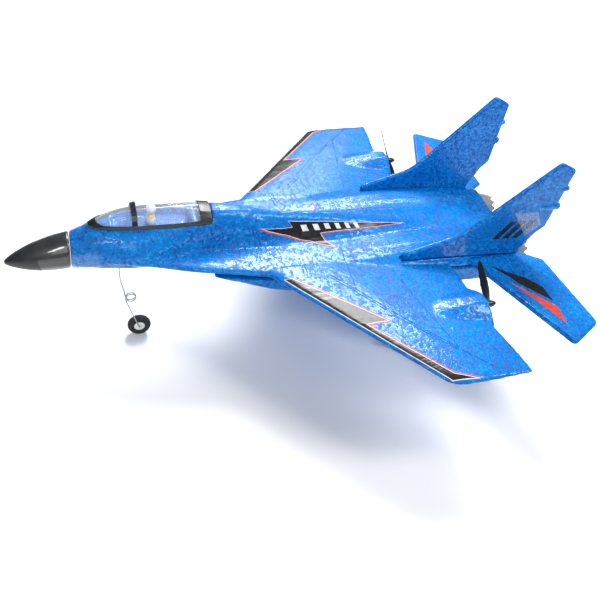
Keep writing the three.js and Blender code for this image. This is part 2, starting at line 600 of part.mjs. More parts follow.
// One blade as a twisted run of thin sections, then its twin, the hub and the spinner
function propellerBody(side, rest) {
  const centre = point(0, propeller.hubS, motor.height);
  const chordAt = profile([[2, 3.4], [8, 6.4], [17, propeller.chord], [28, 7.6], [35, 5.4], [38, 2.2]]);
  const twistAt = profile([[2, 48], [12, 36], [24, 24], [38, 16]]);
  const thickAt = profile([[2, 2], [10, 1.4], [38, 0.7]]);
  const section = (r) => range(8, (i) => {
    const turn = (2 * Math.PI * i) / 8;
    const across = (chordAt(r) / 2) * Math.cos(turn);
    const off = (thickAt(r) / 2) * Math.sin(turn);
    const twist = THREE.MathUtils.degToRad(side * twistAt(r));
    return new THREE.Vector3(across * Math.cos(twist) - off * Math.sin(twist),
      across * Math.sin(twist) + off * Math.cos(twist), r);
  });
  const blade = loft([1.5, 5, 10, 17, 25, 32, 36, propeller.radius].map(section));
  const pair = join(blade, blade.rotate([0, 180, 0]));
  const long = propeller.hubLength;
  const hubPiece = turned([[0, -long / 2], [propeller.hubRadius, -long / 2], [propeller.hubRadius, long / 2],
    [propeller.hubRadius * 0.72, long / 2 + propeller.spinnerLength * 0.55], [0.5, long / 2 + propeller.spinnerLength],
    [0, long / 2 + propeller.spinnerLength]], new THREE.Vector3(), aft, 24);
  const shaftHole = rod(new THREE.Vector3(0, -long, 0), aft, motor.bore, long + 3.5, 12);
  return cut(join(pair, hubPiece), shaftHole).rotate([0, rest, 0]).translate([side * hump.x, centre.y, centre.z]);
}

function leadPath() {
  return [[9, 231, -7.6], [13, 238, -8.4], [26, 254, -9.6], [44, 280, -10], [64, 301, -9.8], [84, 317, -9.8],
    [102, 334, -9.6], [111, 346, -8], [hump.x, 355.9, motor.height]].map(([x, s, h]) => point(x, s, h));
}

const motorLead = () => wire(leadPath(), 1.1, 20, 6);

// Electronics bay -------------------------------------------------------------------------------------

const board = { low: -9.6, startS: 200, endS: 230, halfWidth: 11 };
const battery = { low: -12.6, high: -4.6, startS: 240, endS: 280, halfWidth: 9.6 };
const hatch = { startS: 236.6, endS: 289, thickness: 1.6, hingeS: 235, pinRadius: 0.5 };
const hatchTop = undersideHeight - gap;
const hingeHeight = hatchTop - 1.4;

function controlBoard() {
  const { low, startS, endS, halfWidth } = board;
  const sheet = block([-halfWidth, startS, low], [halfWidth, endS, low + 1]);
  const chips = [[-6, 206, 6, 6, 1.2], [4, 205, 5, 8, 1.5], [0, 220, 9, 5, 2.2]].map(([x, s, wide, long, tall]) =>
    block([x - wide / 2, s, low + 0.8], [x + wide / 2, s + long, low + 1 + tall]));
  return join(sheet, ...chips);
}

const batteryPack = () => plate(new THREE.Shape([
  [-battery.halfWidth, battery.startS], [battery.halfWidth, battery.startS],
  [battery.halfWidth, battery.endS], [-battery.halfWidth, battery.endS]].map((p) => new THREE.Vector2(...p))),
  battery.high - battery.low, 1.2, layFlat((battery.high + battery.low) / 2), 2);

const batteryPlug = () => join(block([-3, 233.4, -8.6], [3, 238.2, -5.4]), block([-2.2, 232, -8], [2.2, 233.8, -6]));

// Trough that the battery slides into, with a low wall on each side
function batteryTray() {
  const { halfWidth } = bay;
  const tray = block([-halfWidth + gap, 233, bay.roof - 1.3], [halfWidth - gap, 284.5, bay.roof - gap]);
  const walls = [-1, 1].map((side) => {
    const x = [side * (halfWidth - gap), side * (halfWidth - gap - 1.2)].sort((a, b) => a - b);
    return block([x[0], 256, -13], [x[1], 284.5, bay.roof - gap]);
  });
  return join(tray, ...walls);
}

const pinHole = () => rod(point(-20, hatch.hingeS, hingeHeight), left, hatch.pinRadius + gap, 40, 12);

// Cover plate under the board: a slot for the switch knob, and a lug for the door's hinge pin
function boardCover() {
  const slab = block([-15.4, 193, hatchTop - 1.6], [15.4, 232.6, hatchTop]);
  const lug = join(block([-3.4, 232, hatchTop - 1.6], [3.4, hatch.hingeS + 1.3, hatchTop]),
    rod(point(-3.4, hatch.hingeS, hingeHeight), left, 1.3, 6.8, 12));
  const rib = join(block([-11, 198, hatchTop - 0.1], [-9.8, 226, -11.6]),
    block([9.8, 198, hatchTop - 0.1], [11, 226, -11.6]));
  return cut(join(slab, lug, rib), block([-3.4, 208, -20], [3.4, 213, -10]), pinHole());
}

const switchBody = () =>
  cut(block([-5, 206.8, -13.7], [5, 214.2, -10.2]), block([-3.6, 209.2, -20], [3.6, 211.8, -12.2]));
const switchKnob = () =>
  join(block([-3, 209.6, -13.6], [0.4, 211.4, -12.5]), block([-2.4, 209.8, -17.2], [-0.2, 211.2, -13.5]));

// Battery door: plate with hinge knuckles in front and a finger tab behind
function batteryHatch() {
  const slab = block([-15.4, hatch.startS, hatchTop - hatch.thickness], [15.4, hatch.endS, hatchTop]);
  const tab = block([-5, hatch.endS - 0.2, hatchTop - hatch.thickness], [5, hatch.endS + 4, hatchTop - 0.5]);
  const stiffeners = [-9, 8].map((x) => block([x, 245, hatchTop - 0.1], [x + 1, 280, hatchTop + 0.9]));
  const knuckles = [-12, 4].map((x) => join(rod(point(x, hatch.hingeS, hingeHeight), left, 1.3, 8, 12),
    block([x, hatch.hingeS, hingeHeight - 0.9], [x + 8, hatch.startS + 0.3, hingeHeight + 0.9])));
  return cut(join(slab, tab, ...stiffeners, ...knuckles), pinHole());
}

const hingePin = () => rod(point(-14.6, hatch.hingeS, hingeHeight), left, hatch.pinRadius, 29.2, 8);

// Airframe: join the moulded forms, then cut the pockets that the other pieces sit in ------------------

function airframe() {
  const panel = join(wingPanel(), motorHump());
  const outer = join(body(), panel, mirrored(panel));
  const pockets = join(
    rod(point(hump.x, motor.startS - 1.5, motor.height), aft, motor.radius + gap, 40, 16),
    rod(point(hump.x, 371.7, motor.height), aft, 5.8 + gap, 20, 20),
    wire(leadPath(), 1.5, 20, 6),
    finSlot(),
    stabiliserSlot(),
    nozzleSeat(),
  );
  return cut(outer, pockets, mirrored(pockets), cockpitHollow(), noseSocketPocket(),
    block([-bay.halfWidth, bay.startS, -40], [bay.halfWidth, bay.endS, bay.roof]));
}

add("foam_airframe", airframe(), foam);
add("nose_cone", noseCone(), blackPlastic);
add("canopy_shell", canopyShell(), clearPlastic);
add("canopy_frame", canopyFrame(), blackPlastic);
add("pilot_torso", pilotTorso(), yellowCloth);
add("pilot_helmet", pilotHelmet(), whitePlastic);

for (const [name, place, side] of sides) {
  add(`nacelle_${name}`, place(nacelleBody()), foam);
  add(`fin_${name}`, place(finBlade()), foam);
  add(`tailplane_${name}`, place(stabiliserPlate()), foam);
  add(`nozzle_${name}`, place(nozzleCup()), greyPlastic);
  add(`motor_${name}`, place(motorCan()), silverFoil);
  add(`motor_mount_${name}`, place(motorMount()), blackPlastic);
  add(`motor_shaft_${name}`, place(motorShaft()), steel);
  add(`motor_lead_${name}`, place(motorLead()), redWire);
  add(`propeller_${name}`, propellerBody(side, side > 0 ? -56 : -62), blackPlastic);
  add(`main_socket_${name}`,
    place(legSocket(mainGear.x, mainGear.s, nacelleBottom(mainGear.s) - gap, -17)), blackPlastic);
  add(`main_leg_${name}`, place(mainLeg()), steel);
  add(`main_tyre_${name}`, place(tyre(mainGear.wheelX, mainGear.axleS)), foamRubber);
  add(`main_hub_${name}`, place(hub(mainGear.wheelX, mainGear.axleS)), whitePlastic);
  add(`main_axle_cap_${name}`,
    place(axleCap(mainGear.wheelX + wheel.width / 2 + 1.9, mainGear.axleS, 1)), blackPlastic);
}

add("nose_socket", legSocket(0, noseGear.s, -26.5, -12), blackPlastic);
add("nose_leg_upper", noseLegUpper(), steel);
add("nose_leg_lower", noseLegLower(), steel);
add("nose_tyre", tyre(0, noseGear.axleS), foamRubber);
add("nose_hub", hub(0, noseGear.axleS), whitePlastic);
add("nose_axle_cap", axleCap(-5.9, noseGear.axleS, -1), blackPlastic);

add("control_board", controlBoard(), greenBoard);
add("board_cover", boardCover(), blackPlastic);
add("switch_body", switchBody(), blackPlastic);
add("switch_knob", switchKnob(), whitePlastic);
add("battery", batteryPack(), silverFoil);
add("battery_plug", batteryPlug(), whitePlastic);
add("battery_tray", batteryTray(), blackPlastic);
add("battery_hatch", batteryHatch(), blackPlastic);
add("hatch_hinge_pin", hingePin(), steel);

export default airplane;
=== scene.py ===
# Blue bead-foam jet with two pusher propellers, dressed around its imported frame.
# Metres, +Z up, nose towards -Y, left wing towards +X. Plan points are in millimetres.
import math
import bpy
from mathutils import Matrix, Quaternion, Vector


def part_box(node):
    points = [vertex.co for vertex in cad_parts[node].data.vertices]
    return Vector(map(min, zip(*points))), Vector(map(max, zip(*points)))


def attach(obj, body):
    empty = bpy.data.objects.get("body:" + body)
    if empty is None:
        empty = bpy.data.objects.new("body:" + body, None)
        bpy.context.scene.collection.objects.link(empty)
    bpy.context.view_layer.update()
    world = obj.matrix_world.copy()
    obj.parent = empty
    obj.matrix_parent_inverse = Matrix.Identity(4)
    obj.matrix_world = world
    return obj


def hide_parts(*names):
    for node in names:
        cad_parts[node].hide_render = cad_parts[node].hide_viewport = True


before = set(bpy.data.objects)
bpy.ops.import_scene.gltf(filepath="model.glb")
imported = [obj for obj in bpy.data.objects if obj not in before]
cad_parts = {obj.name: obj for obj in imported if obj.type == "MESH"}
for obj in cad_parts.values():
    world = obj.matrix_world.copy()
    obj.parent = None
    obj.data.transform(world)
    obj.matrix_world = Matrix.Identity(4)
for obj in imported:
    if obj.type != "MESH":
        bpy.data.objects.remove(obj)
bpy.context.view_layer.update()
print("frame loaded")

scene = bpy.context.scene
scene.view_settings.view_transform = "Standard"
mm = 0.001
falling = Vector((0, 0, -1))

# Camera
cameraSet = {"place": (0.48597, -0.19349, 0.48273), "aim": (-0.69051, 0.31259, -0.65229),
             "roll": 11.57, "lens": 43.2}


def addCamera():
    bpy.ops.object.camera_add(location=cameraSet["place"])
    camera = bpy.context.object
    camera.data.lens = cameraSet["lens"]
    camera.rotation_mode = "QUATERNION"
    level = Vector(cameraSet["aim"]).to_track_quat("-Z", "Y")
    camera.rotation_quaternion = level @ Quaternion((0, 0, 1), math.radians(cameraSet["roll"]))
    camera.data.clip_start, camera.data.clip_end = 0.01, 50
    scene.camera = camera


addCamera()
print("camera placed")


# Shader maths: a Value is one socket, and sums and products on it add Math nodes
class Value:
    def __init__(self, finish, socket):
        self.finish, self.socket = finish, socket

    def maths(self, operation, *terms):
        return self.finish.node("Math", {"operation": operation}, dict(enumerate(terms)))

    def __add__(self, other): return self.maths("ADD", self, other)
    def __radd__(self, other): return self.maths("ADD", other, self)
    def __sub__(self, other): return self.maths("SUBTRACT", self, other)
    def __rsub__(self, other): return self.maths("SUBTRACT", other, self)
    def __mul__(self, other): return self.maths("MULTIPLY", self, other)
    def __rmul__(self, other): return self.maths("MULTIPLY", other, self)
    def above(self, other): return self.maths("GREATER_THAN", self, other)


class Finish:
    def __init__(self, name, **constants):
        self.material = bpy.data.materials.new(name)
        self.material.use_nodes = True
        self.tree = self.material.node_tree
        self.shader = self.tree.nodes["Principled BSDF"]
        for socket, value in constants.items():
            self.shader.inputs[socket.replace("_", " ")].default_value = value
        local = self.node("TexCoord", {}, {}, "Object")
        self.place = self.node("VectorMath", {"operation": "SCALE"}, {0: local, "Scale": 1 / mm})

    def node(self, kind, settings, inputs, out=0):
        node = self.tree.nodes.new("ShaderNode" + kind)
        for name, value in settings.items():
            setattr(node, name, value)
        for key, value in inputs.items():
            if isinstance(value, Value):
                self.tree.links.new(value.socket, node.inputs[key])
            else:
                node.inputs[key].default_value = value
        return Value(self, node.outputs[out])

    def axis(self, letter):
        return self.node("SeparateXYZ", {}, {0: self.place}, letter)

    def stretched(self, x, y, z):
        return self.node("VectorMath", {"operation": "MULTIPLY"}, {0: self.place, 1: (x, y, z)})

    def noise(self, size, detail=3.0, rough=0.55, place=None, twist=0.0):
        return self.node("TexNoise", {}, {"Vector": place or self.place, "Scale": 1 / size,
                                          "Detail": detail, "Roughness": rough, "Distortion": twist})

    def cells(self, size, feature="F1", out="Distance"):
        return self.node("TexVoronoi", {"feature": feature},
                         {"Vector": self.place, "Scale": 1 / size}, out)

    def span(self, value, low, high, start=0.0, end=1.0):
        return self.node("MapRange", {"interpolation_type": "SMOOTHSTEP"},
                         {0: value, 1: low, 2: high, 3: start, 4: end})

    def mix(self, first, second, factor):
        return self.node("Mix", {"data_type": "RGBA"}, {0: factor, 6: first, 7: second}, 2)

    def bump(self, height, depth, under=None):
        inputs = {"Height": height, "Distance": depth * mm, "Strength": 1.0}
        if under:
            inputs["Normal"] = under
        return self.node("Bump", {}, inputs)

    def wear(self, **links):
        for socket, value in links.items():
            self.tree.links.new(value.socket, self.shader.inputs[socket.replace("_", " ")])


# Moulded bead foam: blue beads of mixed tone, some glossy and some dull, under clear tape at the nose
foamLook = {
    "deep": (0.0003, 0.05, 0.29, 1), "mid": (0.0005, 0.155, 0.52, 1), "pale": (0.015, 0.38, 0.82, 1),
    "gloss": 0.34, "glossTint": (0.72, 0.9, 1.0, 1.0), "tapeRoughness": 0.08,
    "bead": 2.0, "grain": 1.1, "drift": 38.0,            # sizes in mm
    "roughness": (0.46, 0.09), "beadDepth": 0.03, "grainDepth": 0.03,
    "tape": (-166.0, -160.0),
}


def foamFinish(name, taped=False):
    look = foamLook
    foam = Finish(name, Specular_IOR_Level=look["gloss"], Specular_Tint=look["glossTint"],
                  Coat_Roughness=look["tapeRoughness"])
    bead = foam.node("SeparateColor", {}, {0: foam.cells(look["bead"], out="Color")}, 0)
    rim = foam.cells(look["bead"], "DISTANCE_TO_EDGE")
    grain = foam.noise(look["grain"], 2.0, 0.6)
    drift = foam.noise(look["drift"], 2.0, 0.5)
    tone = bead * 0.42 + grain * 0.85 + drift * 0.3 - 0.3
    body = foam.mix(look["deep"], look["mid"], foam.span(tone, 0.22, 0.52))
    colour = foam.mix(body, look["pale"], foam.span(tone, 0.56, 0.86) * 0.8)
    shine = foam.span(bead * 0.5 + grain * 0.5, 0.4, 0.56)
    roughness = foam.span(shine, 0.0, 1.0, *look["roughness"])
    grains = foam.bump(grain, look["grainDepth"])
    domes = foam.bump(foam.span(rim, 0.0, 0.34), look["beadDepth"], grains)
    foam.wear(Base_Color=colour, Roughness=roughness, Normal=domes)
    if taped:
        foam.wear(Coat_Weight=foam.span(foam.axis("Y"), *look["tape"], 1.0, 0.0))
    return foam.material


# Printed film, slightly wrinkled
def vinylFinish(name, colour, roughness=0.16, crease=0.5):
    vinyl = Finish(name, Specular_IOR_Level=0.24, Coat_Weight=0.05, Coat_Roughness=0.06)
    wrinkle = vinyl.noise(16.0, 3.0, 0.55, vinyl.stretched(1.0, 0.35, 1.0), 1.2)
    mottle = vinyl.noise(4.0, 2.0)
    shade = tuple(channel * 0.72 for channel in colour[:3]) + (1,)
    vinyl.wear(Base_Color=vinyl.mix(shade, colour, vinyl.span(mottle, 0.3, 0.7)),
               Roughness=vinyl.span(mottle, 0.2, 0.8, roughness, roughness + 0.1),
               Normal=vinyl.bump(wrinkle, crease))
    return vinyl.material


def plasticFinish(name, colour, roughness, grain=0.35, depth=0.02, **more):
    plastic = Finish(name, **more)
    fine = plastic.noise(grain, 2.0, 0.6)
    broad = plastic.noise(11.0, 3.0, 0.5)
    dull = tuple(channel * 0.7 for channel in colour[:3]) + (1,)
    plastic.wear(Base_Color=plastic.mix(dull, colour, plastic.span(broad, 0.25, 0.65)),
                 Roughness=plastic.span(broad, 0.3, 0.75, roughness - 0.06, roughness + 0.08),
                 Normal=plastic.bump(fine, depth))
    return plastic


noseLook = {"colour": (0.016, 0.019, 0.023, 1), "roughness": 0.42,
            "tapeFrom": -209.5, "tapeFade": 0.4, "tapeLean": 0.28, "leanAbout": 100.0}


def noseFinish():
    look = noseLook
    nose = plasticFinish("nose_plastic", look["colour"], look["roughness"], Coat_Roughness=0.07)
    tapeEdge = nose.axis("Y") - (look["leanAbout"] - nose.axis("Z")) * look["tapeLean"]
    nose.wear(Coat_Weight=nose.span(tapeEdge, look["tapeFrom"], look["tapeFrom"] + look["tapeFade"]))
    return nose.material


def clearFinish(name, tint, roughness):
    clear = Finish(name, Base_Color=tint, Roughness=roughness, IOR=1.49)
    # the pale tint grows more opaque towards grazing angles: a painted edge sheen in place of the clear
    # film's reflection
    shine = clear.node("LayerWeight", {}, {"Blend": 0.28}, "Facing")
    ripple = clear.noise(22.0, 1.0, 0.4)
    clear.wear(Alpha=clear.span(shine, 0.2, 1.0, 0.1, 0.62), Normal=clear.bump(ripple, 0.12))
    return clear.material


def steelFinish():
    steel = Finish("drawn_wire", Metallic=1.0)
    streak = steel.noise(0.6, 3.0, 0.6, steel.stretched(1.0, 1.0, 0.06))
    steel.wear(Base_Color=steel.mix((0.2, 0.21, 0.22, 1), (0.46, 0.48, 0.5, 1), streak),
               Roughness=steel.span(streak, 0.3, 0.7, 0.22, 0.42), Normal=steel.bump(streak, 0.01))
    return steel.material


def spongeFinish():
    sponge = Finish("sponge_tyre", Specular_IOR_Level=0.3)
    pore = sponge.cells(0.55)
    # painted shade: the tyre is darker down in its pores, where the bump height is low
    sponge.wear(Base_Color=sponge.mix((0.006, 0.006, 0.007, 1), (0.035, 0.036, 0.038, 1),
                                      sponge.span(pore, 0.1, 0.7)),
                Roughness=sponge.span(pore, 0.0, 0.8, 0.95, 0.75), Normal=sponge.bump(pore, 0.16))
    return sponge.material


boardTop = 106.6   # above this height are the chips


def boardFinish():
    board = Finish("circuit_board", Coat_Weight=0.3)
    track = board.node("TexBrick", {}, {"Vector": board.place, "Scale": 0.4, "Mortar Size": 0.03,
                                        "Color1": (0.01, 0.14, 0.05, 1), "Color2": (0.014, 0.17, 0.06, 1),
                                        "Mortar": (0.25, 0.3, 0.12, 1)})
    chip = board.axis("Z").above(boardTop)
    board.wear(Base_Color=board.mix(track, (0.015, 0.015, 0.017, 1), chip),
               Roughness=board.span(board.noise(2.0), 0.3, 0.7, 0.3, 0.5))
    return board.material


def foilFinish(name, colour, crease=0.3):
    foil = Finish(name, Metallic=1.0)
    fold = foil.noise(3.4, 4.0, 0.6, twist=0.8)
    # painted shade: the colour goes darker where the fold pattern is low, down in the creases that the
    # bump presses in
    dark = tuple(channel * 0.6 for channel in colour[:3]) + (1,)
    foil.wear(Base_Color=foil.mix(dark, colour, foil.span(fold, 0.3, 0.6)),
              Roughness=foil.span(fold, 0.3, 0.7, 0.18, 0.4), Normal=foil.bump(fold, crease))
    return foil.material


def paintFinish(name, colour, second, split, roughness=0.4):
    paint = Finish(name)
    speck = paint.noise(0.8, 3.0)
    both = paint.mix(colour, second, paint.axis("Z").above(split))
    paint.wear(Base_Color=paint.mix(both, (0.5, 0.5, 0.5, 1), speck * 0.12),
               Roughness=paint.span(speck, 0.3, 0.7, roughness - 0.05, roughness + 0.1),
               Normal=paint.bump(speck, 0.03))
    return paint.material


finishes = {
    "skin": foamFinish("foam_skin", True),
    "foam": foamFinish("foam_panel"),
    "blackVinyl": vinylFinish("black_vinyl", (0.018, 0.019, 0.021, 1)),
    "redVinyl": vinylFinish("red_vinyl", (0.72, 0.07, 0.05, 1), 0.3),
    "whiteVinyl": vinylFinish("white_vinyl", (0.8, 0.82, 0.84, 1), 0.3),
    "nose": noseFinish(),
    "black": plasticFinish("black_moulding", (0.014, 0.015, 0.017, 1), 0.3).material,
    "prop": plasticFinish("propeller_plastic", (0.012, 0.014, 0.018, 1), 0.34, 0.5, 0.03).material,
    "grey": plasticFinish("grey_moulding", (0.2, 0.21, 0.215, 1), 0.5, 0.3, 0.04).material,
    "white": plasticFinish("white_moulding", (0.78, 0.79, 0.78, 1), 0.36).material,
    "clear": clearFinish("canopy_clear", (0.92, 0.96, 1.0, 1), 0.04),
    "tape": clearFinish("clear_tape", (0.8, 0.86, 0.9, 1), 0.1),
    "steel": steelFinish(),
    "sponge": spongeFinish(),
    "board": boardFinish(),
    "foil": foilFinish("battery_wrap", (0.62, 0.63, 0.65, 1)),
    "can": foilFinish("motor_can", (0.66, 0.67, 0.69, 1), 0.02),
    "lead": plasticFinish("lead_sleeve", (0.42, 0.03, 0.025, 1), 0.4, 0.8, 0.02).material,
    "suit": paintFinish("pilot_suit", (0.75, 0.76, 0.78, 1), (0.78, 0.5, 0.06, 1), 132.4),
    # the helmet's upper part is its own grey made lighter: painted top light
    "helmet": paintFinish("pilot_helmet_shell", (0.5, 0.56, 0.62, 1), (0.66, 0.72, 0.78, 1), 139.0, 0.25),
}
print("finishes mixed")


# Bench helpers
def pick(*pieces):
    bpy.ops.object.select_all(action="DESELECT")
    for piece in pieces:
        piece.select_set(True)
    bpy.context.view_layer.objects.active = pieces[0]


def openMesh(piece):
    pick(piece)
    bpy.ops.object.mode_set(mode="EDIT")
    bpy.ops.mesh.select_mode(type="VERT")
    bpy.ops.mesh.select_all(action="SELECT")


def closeMesh():
    bpy.ops.object.mode_set(mode="OBJECT")


def applyAll(piece):
    pick(piece)
    for modifier in list(piece.modifiers):
        bpy.ops.object.modifier_apply(modifier=modifier.name)
    return piece


def modify(piece, kind, **settings):
    modifier = piece.modifiers.new(kind.lower(), kind)
    for name, value in settings.items():
        setattr(modifier, name, value)


def copyOf(node, name):
    piece = bpy.data.objects.new(name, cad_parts[node].data.copy())
    scene.collection.objects.link(piece)
    piece.data.materials.clear()
    openMesh(piece)
    bpy.ops.mesh.remove_doubles(threshold=0.001 * mm)
    closeMesh()
    return piece


def twinOf(piece, name):
    twin = bpy.data.objects.new(name, piece.data.copy())
    scene.collection.objects.link(twin)
    return twin


def selectFaces(piece, wanted):
    for edge in piece.data.edges:
        edge.select = False
    for vertex in piece.data.vertices:
        vertex.select = False
    for face in piece.data.polygons:
        face.select = bool(wanted(face))


def coat(piece, finish):
    piece.data.materials.clear()
    piece.data.materials.append(finishes[finish])
    for face in piece.data.polygons:
        face.material_index = 0


def finishPiece(piece, body, finish, nodes=(), angle=None):
    if len(piece.data.materials) < 2:
        coat(piece, finish)
    pick(piece)
    if angle is None:
        bpy.ops.object.shade_smooth()
    else:
        bpy.ops.object.shade_smooth_by_angle(angle=math.radians(angle))
    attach(piece, body)
    if nodes:
        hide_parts(*nodes)


def remade(node, name, voxel, rounds, keep=1.0):
    # the node's form melted to an even skin, so that its edges round over
    piece = copyOf(node, name)
    modify(piece, "REMESH", mode="VOXEL", voxel_size=voxel * mm)
    modify(piece, "SMOOTH", iterations=rounds, factor=0.5)
    if keep < 1:
        modify(piece, "DECIMATE", ratio=keep)
    return applyAll(piece)


def refined(node, name, level, crease):
    # the node's own faces made quads and subdivided, with its corners held
    piece = copyOf(node, name)
    openMesh(piece)
    bpy.ops.mesh.tris_convert_to_quads(face_threshold=math.radians(35),
                                       shape_threshold=math.radians(50))
    bpy.ops.mesh.select_all(action="DESELECT")
    bpy.ops.mesh.select_mode(type="EDGE")
    bpy.ops.mesh.edges_select_sharp(sharpness=math.radians(crease))
    bpy.ops.transform.edge_crease(value=0.85)
    closeMesh()
    modify(piece, "SUBSURF", levels=level, render_levels=level)
    return applyAll(piece)


def crisp(node, name, width):
    # flat-sided node with its corners eased
    piece = copyOf(node, name)
    openMesh(piece)
    bpy.ops.mesh.dissolve_limited(angle_limit=math.radians(2))
    closeMesh()
    modify(piece, "BEVEL", width=width * mm, segments=2, limit_method="ANGLE",
           angle_limit=math.radians(40))
    return applyAll(piece)


def turned(name, rows, start, axis, sides=64, ease=0.0):
    # rows of [radius, distance] along the axis; a row that repeats the first closes the ring
    ring = rows[0] == rows[-1]
    firstRadius, firstAt = rows[0]
    bpy.ops.mesh.primitive_circle_add(vertices=sides, radius=firstRadius * mm,
                                      location=(0, 0, firstAt * mm),
                                      fill_type="NOTHING" if ring else "NGON")
    piece = bpy.context.object
    piece.name = name
    bpy.ops.object.transform_apply(location=True)
    openMesh(piece)
    for (radius, at), (nextRadius, nextAt) in zip(rows, rows[1:]):
        step = (0, 0, (nextAt - at) * mm)
        bpy.ops.mesh.extrude_region_move(TRANSFORM_OT_translate={"value": step})
        ratio = nextRadius / radius
        bpy.ops.transform.resize(value=(ratio, ratio, 1), center_override=(0, 0, nextAt * mm))
    bpy.ops.mesh.select_all(action="SELECT")
    bpy.ops.mesh.remove_doubles(threshold=0.002 * mm)
    bpy.ops.mesh.normals_make_consistent(inside=False)
    closeMesh()
    turn = Vector((0, 0, 1)).rotation_difference(Vector(axis)).to_matrix().to_4x4()
    piece.data.transform(Matrix.Translation(Vector(start)) @ turn)
    if ease:
        modify(piece, "BEVEL", width=ease * mm, segments=3, limit_method="ANGLE",
               angle_limit=math.radians(25))
        applyAll(piece)
    return piece


def middle(node):
    low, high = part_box(node)
    return (low + high) / 2


castReach = 0.15    # a cast starts this far off the plan, in metres, on both its sides
prismReach = 0.16   # half the height of a sticker's prism
lineStep = 2.5      # spacing of a panel line's points, in mm


def planar(points, side):
    # plan points of the left half, mirrored for the right
    return [(side * x, y, 0.0) for x, y in points]


def lineTube(name, points, radius, skin):
    # thin rod laid along the skin above a run of plan points
    run = []
    for first, second in zip(points, points[1:]):
        first, second = Vector(first) * mm, Vector(second) * mm
        count = max(2, round((second - first).length / (lineStep * mm)))
        run += [first.lerp(second, i / count) for i in range(count)]
    run.append(Vector(points[-1]) * mm)
    line = bpy.data.curves.new(name, "CURVE")
    line.dimensions, line.bevel_depth, line.bevel_resolution = "3D", radius * mm, 1
    line.use_fill_caps = True
    laid = []
    for spot in run:
        hit, where, normal, face = skin.ray_cast(spot - falling * castReach, falling)
        if hit:
            laid.append(where)
    spline = line.splines.new("POLY")
    spline.points.add(len(laid) - 1)
    for knot, where in zip(spline.points, laid):
        knot.co = (*where, 1)
    rod = bpy.data.objects.new(name, line)
    scene.collection.objects.link(rod)
    pick(rod)
    bpy.ops.object.convert(target="MESH")
    rod = bpy.context.object
    openMesh(rod)
    bpy.ops.mesh.remove_doubles(threshold=0.001 * mm)
    closeMesh()
    return rod


def carve(piece, tool, operation="DIFFERENCE"):
    modify(piece, "BOOLEAN", operation=operation, solver="MANIFOLD", object=tool)
    applyAll(piece)
    bpy.data.objects.remove(tool)
    return piece


def engrave(skin, lines, side, radius):
    for points in lines:
        carve(skin, lineTube("groove", planar(points, side), radius, skin))


def outlinePrism(points, cast):
    # a drawn outline made a tall prism along the cast direction
    bpy.ops.mesh.primitive_circle_add(vertices=len(points), radius=0.01, fill_type="NGON")
    prism = bpy.context.object
    for vertex, point in zip(prism.data.vertices, points):
        vertex.co = Vector(point) * mm - cast * prismReach
    openMesh(prism)
    bpy.ops.mesh.extrude_region_move(TRANSFORM_OT_translate={"value": cast * 2 * prismReach})
    bpy.ops.mesh.select_all(action="SELECT")
    bpy.ops.mesh.normals_make_consistent(inside=False)
    closeMesh()
    return prism


def insetOutline(points, widths):
    # each edge of a flat outline moved inwards by its own width
    area = sum(a[0] * b[1] - b[0] * a[1] for a, b in zip(points, points[1:] + points[:1]))
    inward = 1 if area > 0 else -1
    edges = []
    for first, second, width in zip(points, points[1:] + points[:1], widths):
        run = (Vector(second) - Vector(first)).normalized()
        edges.append((Vector(first) + Vector((-run.y, run.x)) * inward * width, run))
    corners = []
    for (place, run), (nextPlace, nextRun) in zip(edges[-1:] + edges[:-1], edges):
        cross = run.x * nextRun.y - run.y * nextRun.x
        gap = nextPlace - place
        along = (gap.x * nextRun.y - gap.y * nextRun.x) / cross
        corners.append(tuple(place + run * along))
    return corners


def stickerLayer(name, skin, points, cast, lift, finish, lowest=99.0, thick=0.05):
    # the patch of skin under the outline, lifted off it and given the film's thickness
    patch = twinOf(skin, name)
    patch.data.materials.clear()
    carve(patch, outlinePrism(points, cast), "INTERSECT")
    selectFaces(patch, lambda face: face.normal.dot(cast) > -0.12 or face.center.z < lowest * mm)
    pick(patch)
    bpy.ops.object.mode_set(mode="EDIT")
    bpy.ops.mesh.select_mode(type="FACE")
    bpy.ops.mesh.delete(type="FACE")
    bpy.ops.mesh.select_all(action="SELECT")
    bpy.ops.transform.shrink_fatten(value=lift * mm)
    closeMesh()
    modify(patch, "SOLIDIFY", thickness=thick * mm, offset=1.0)
    applyAll(patch)
    coat(patch, finish)
    return patch


def joined(name, pieces):
    pick(*pieces)
    bpy.ops.object.join()
    piece = bpy.context.object
    piece.name = name
    piece.data.name = name
    return piece


print("bench ready")


# Foam airframe, with its drawn panel lines pressed in
foamSet = {"voxel": 1.25, "smooth": 6, "keep": 0.62, "plateVoxel": 0.9, "plateSmooth": 4,
           "nacelleVoxel": 1.3, "nacelleSmooth": 6, "line": 0.36, "tailLine": 0.5}
panelLines = [
    [(64.4, 16.4), (85.9, 35.1), (118.5, 59.2), (159.4, 95.7)],
    [(62.9, 18.4), (84.6, 37.2), (117.2, 61.3), (158.0, 97.2)],
    [(61.3, 76.8), (82.2, 80.7), (114.7, 87.1), (159.8, 98.0)],
    [(160.0, 98.4), (183.0, 120.0)],
    [(84.3, 36.5), (28.0, 39.5)],
    [(40.0, -0.2), (60.1, -2.1)],
    [(40.4, 2.6), (59.4, 0.6)],
    [(17.4, -48.7), (40.3, -50.3), (35.7, -14.2), (16.2, -19.6), (17.4, -48.7)],
    [(17.2, -43.0), (39.6, -44.4)],
    [(17.0, -38.6), (39.0, -39.8)],
    [(16.9, -34.0), (38.4, -35.0)],
    [(16.7, -29.6), (37.8, -30.4)],
    [(16.5, -25.2), (37.2, -25.8)],
]
tailLines = [[(76.1, 165.3), (163.6, 198.5)]]


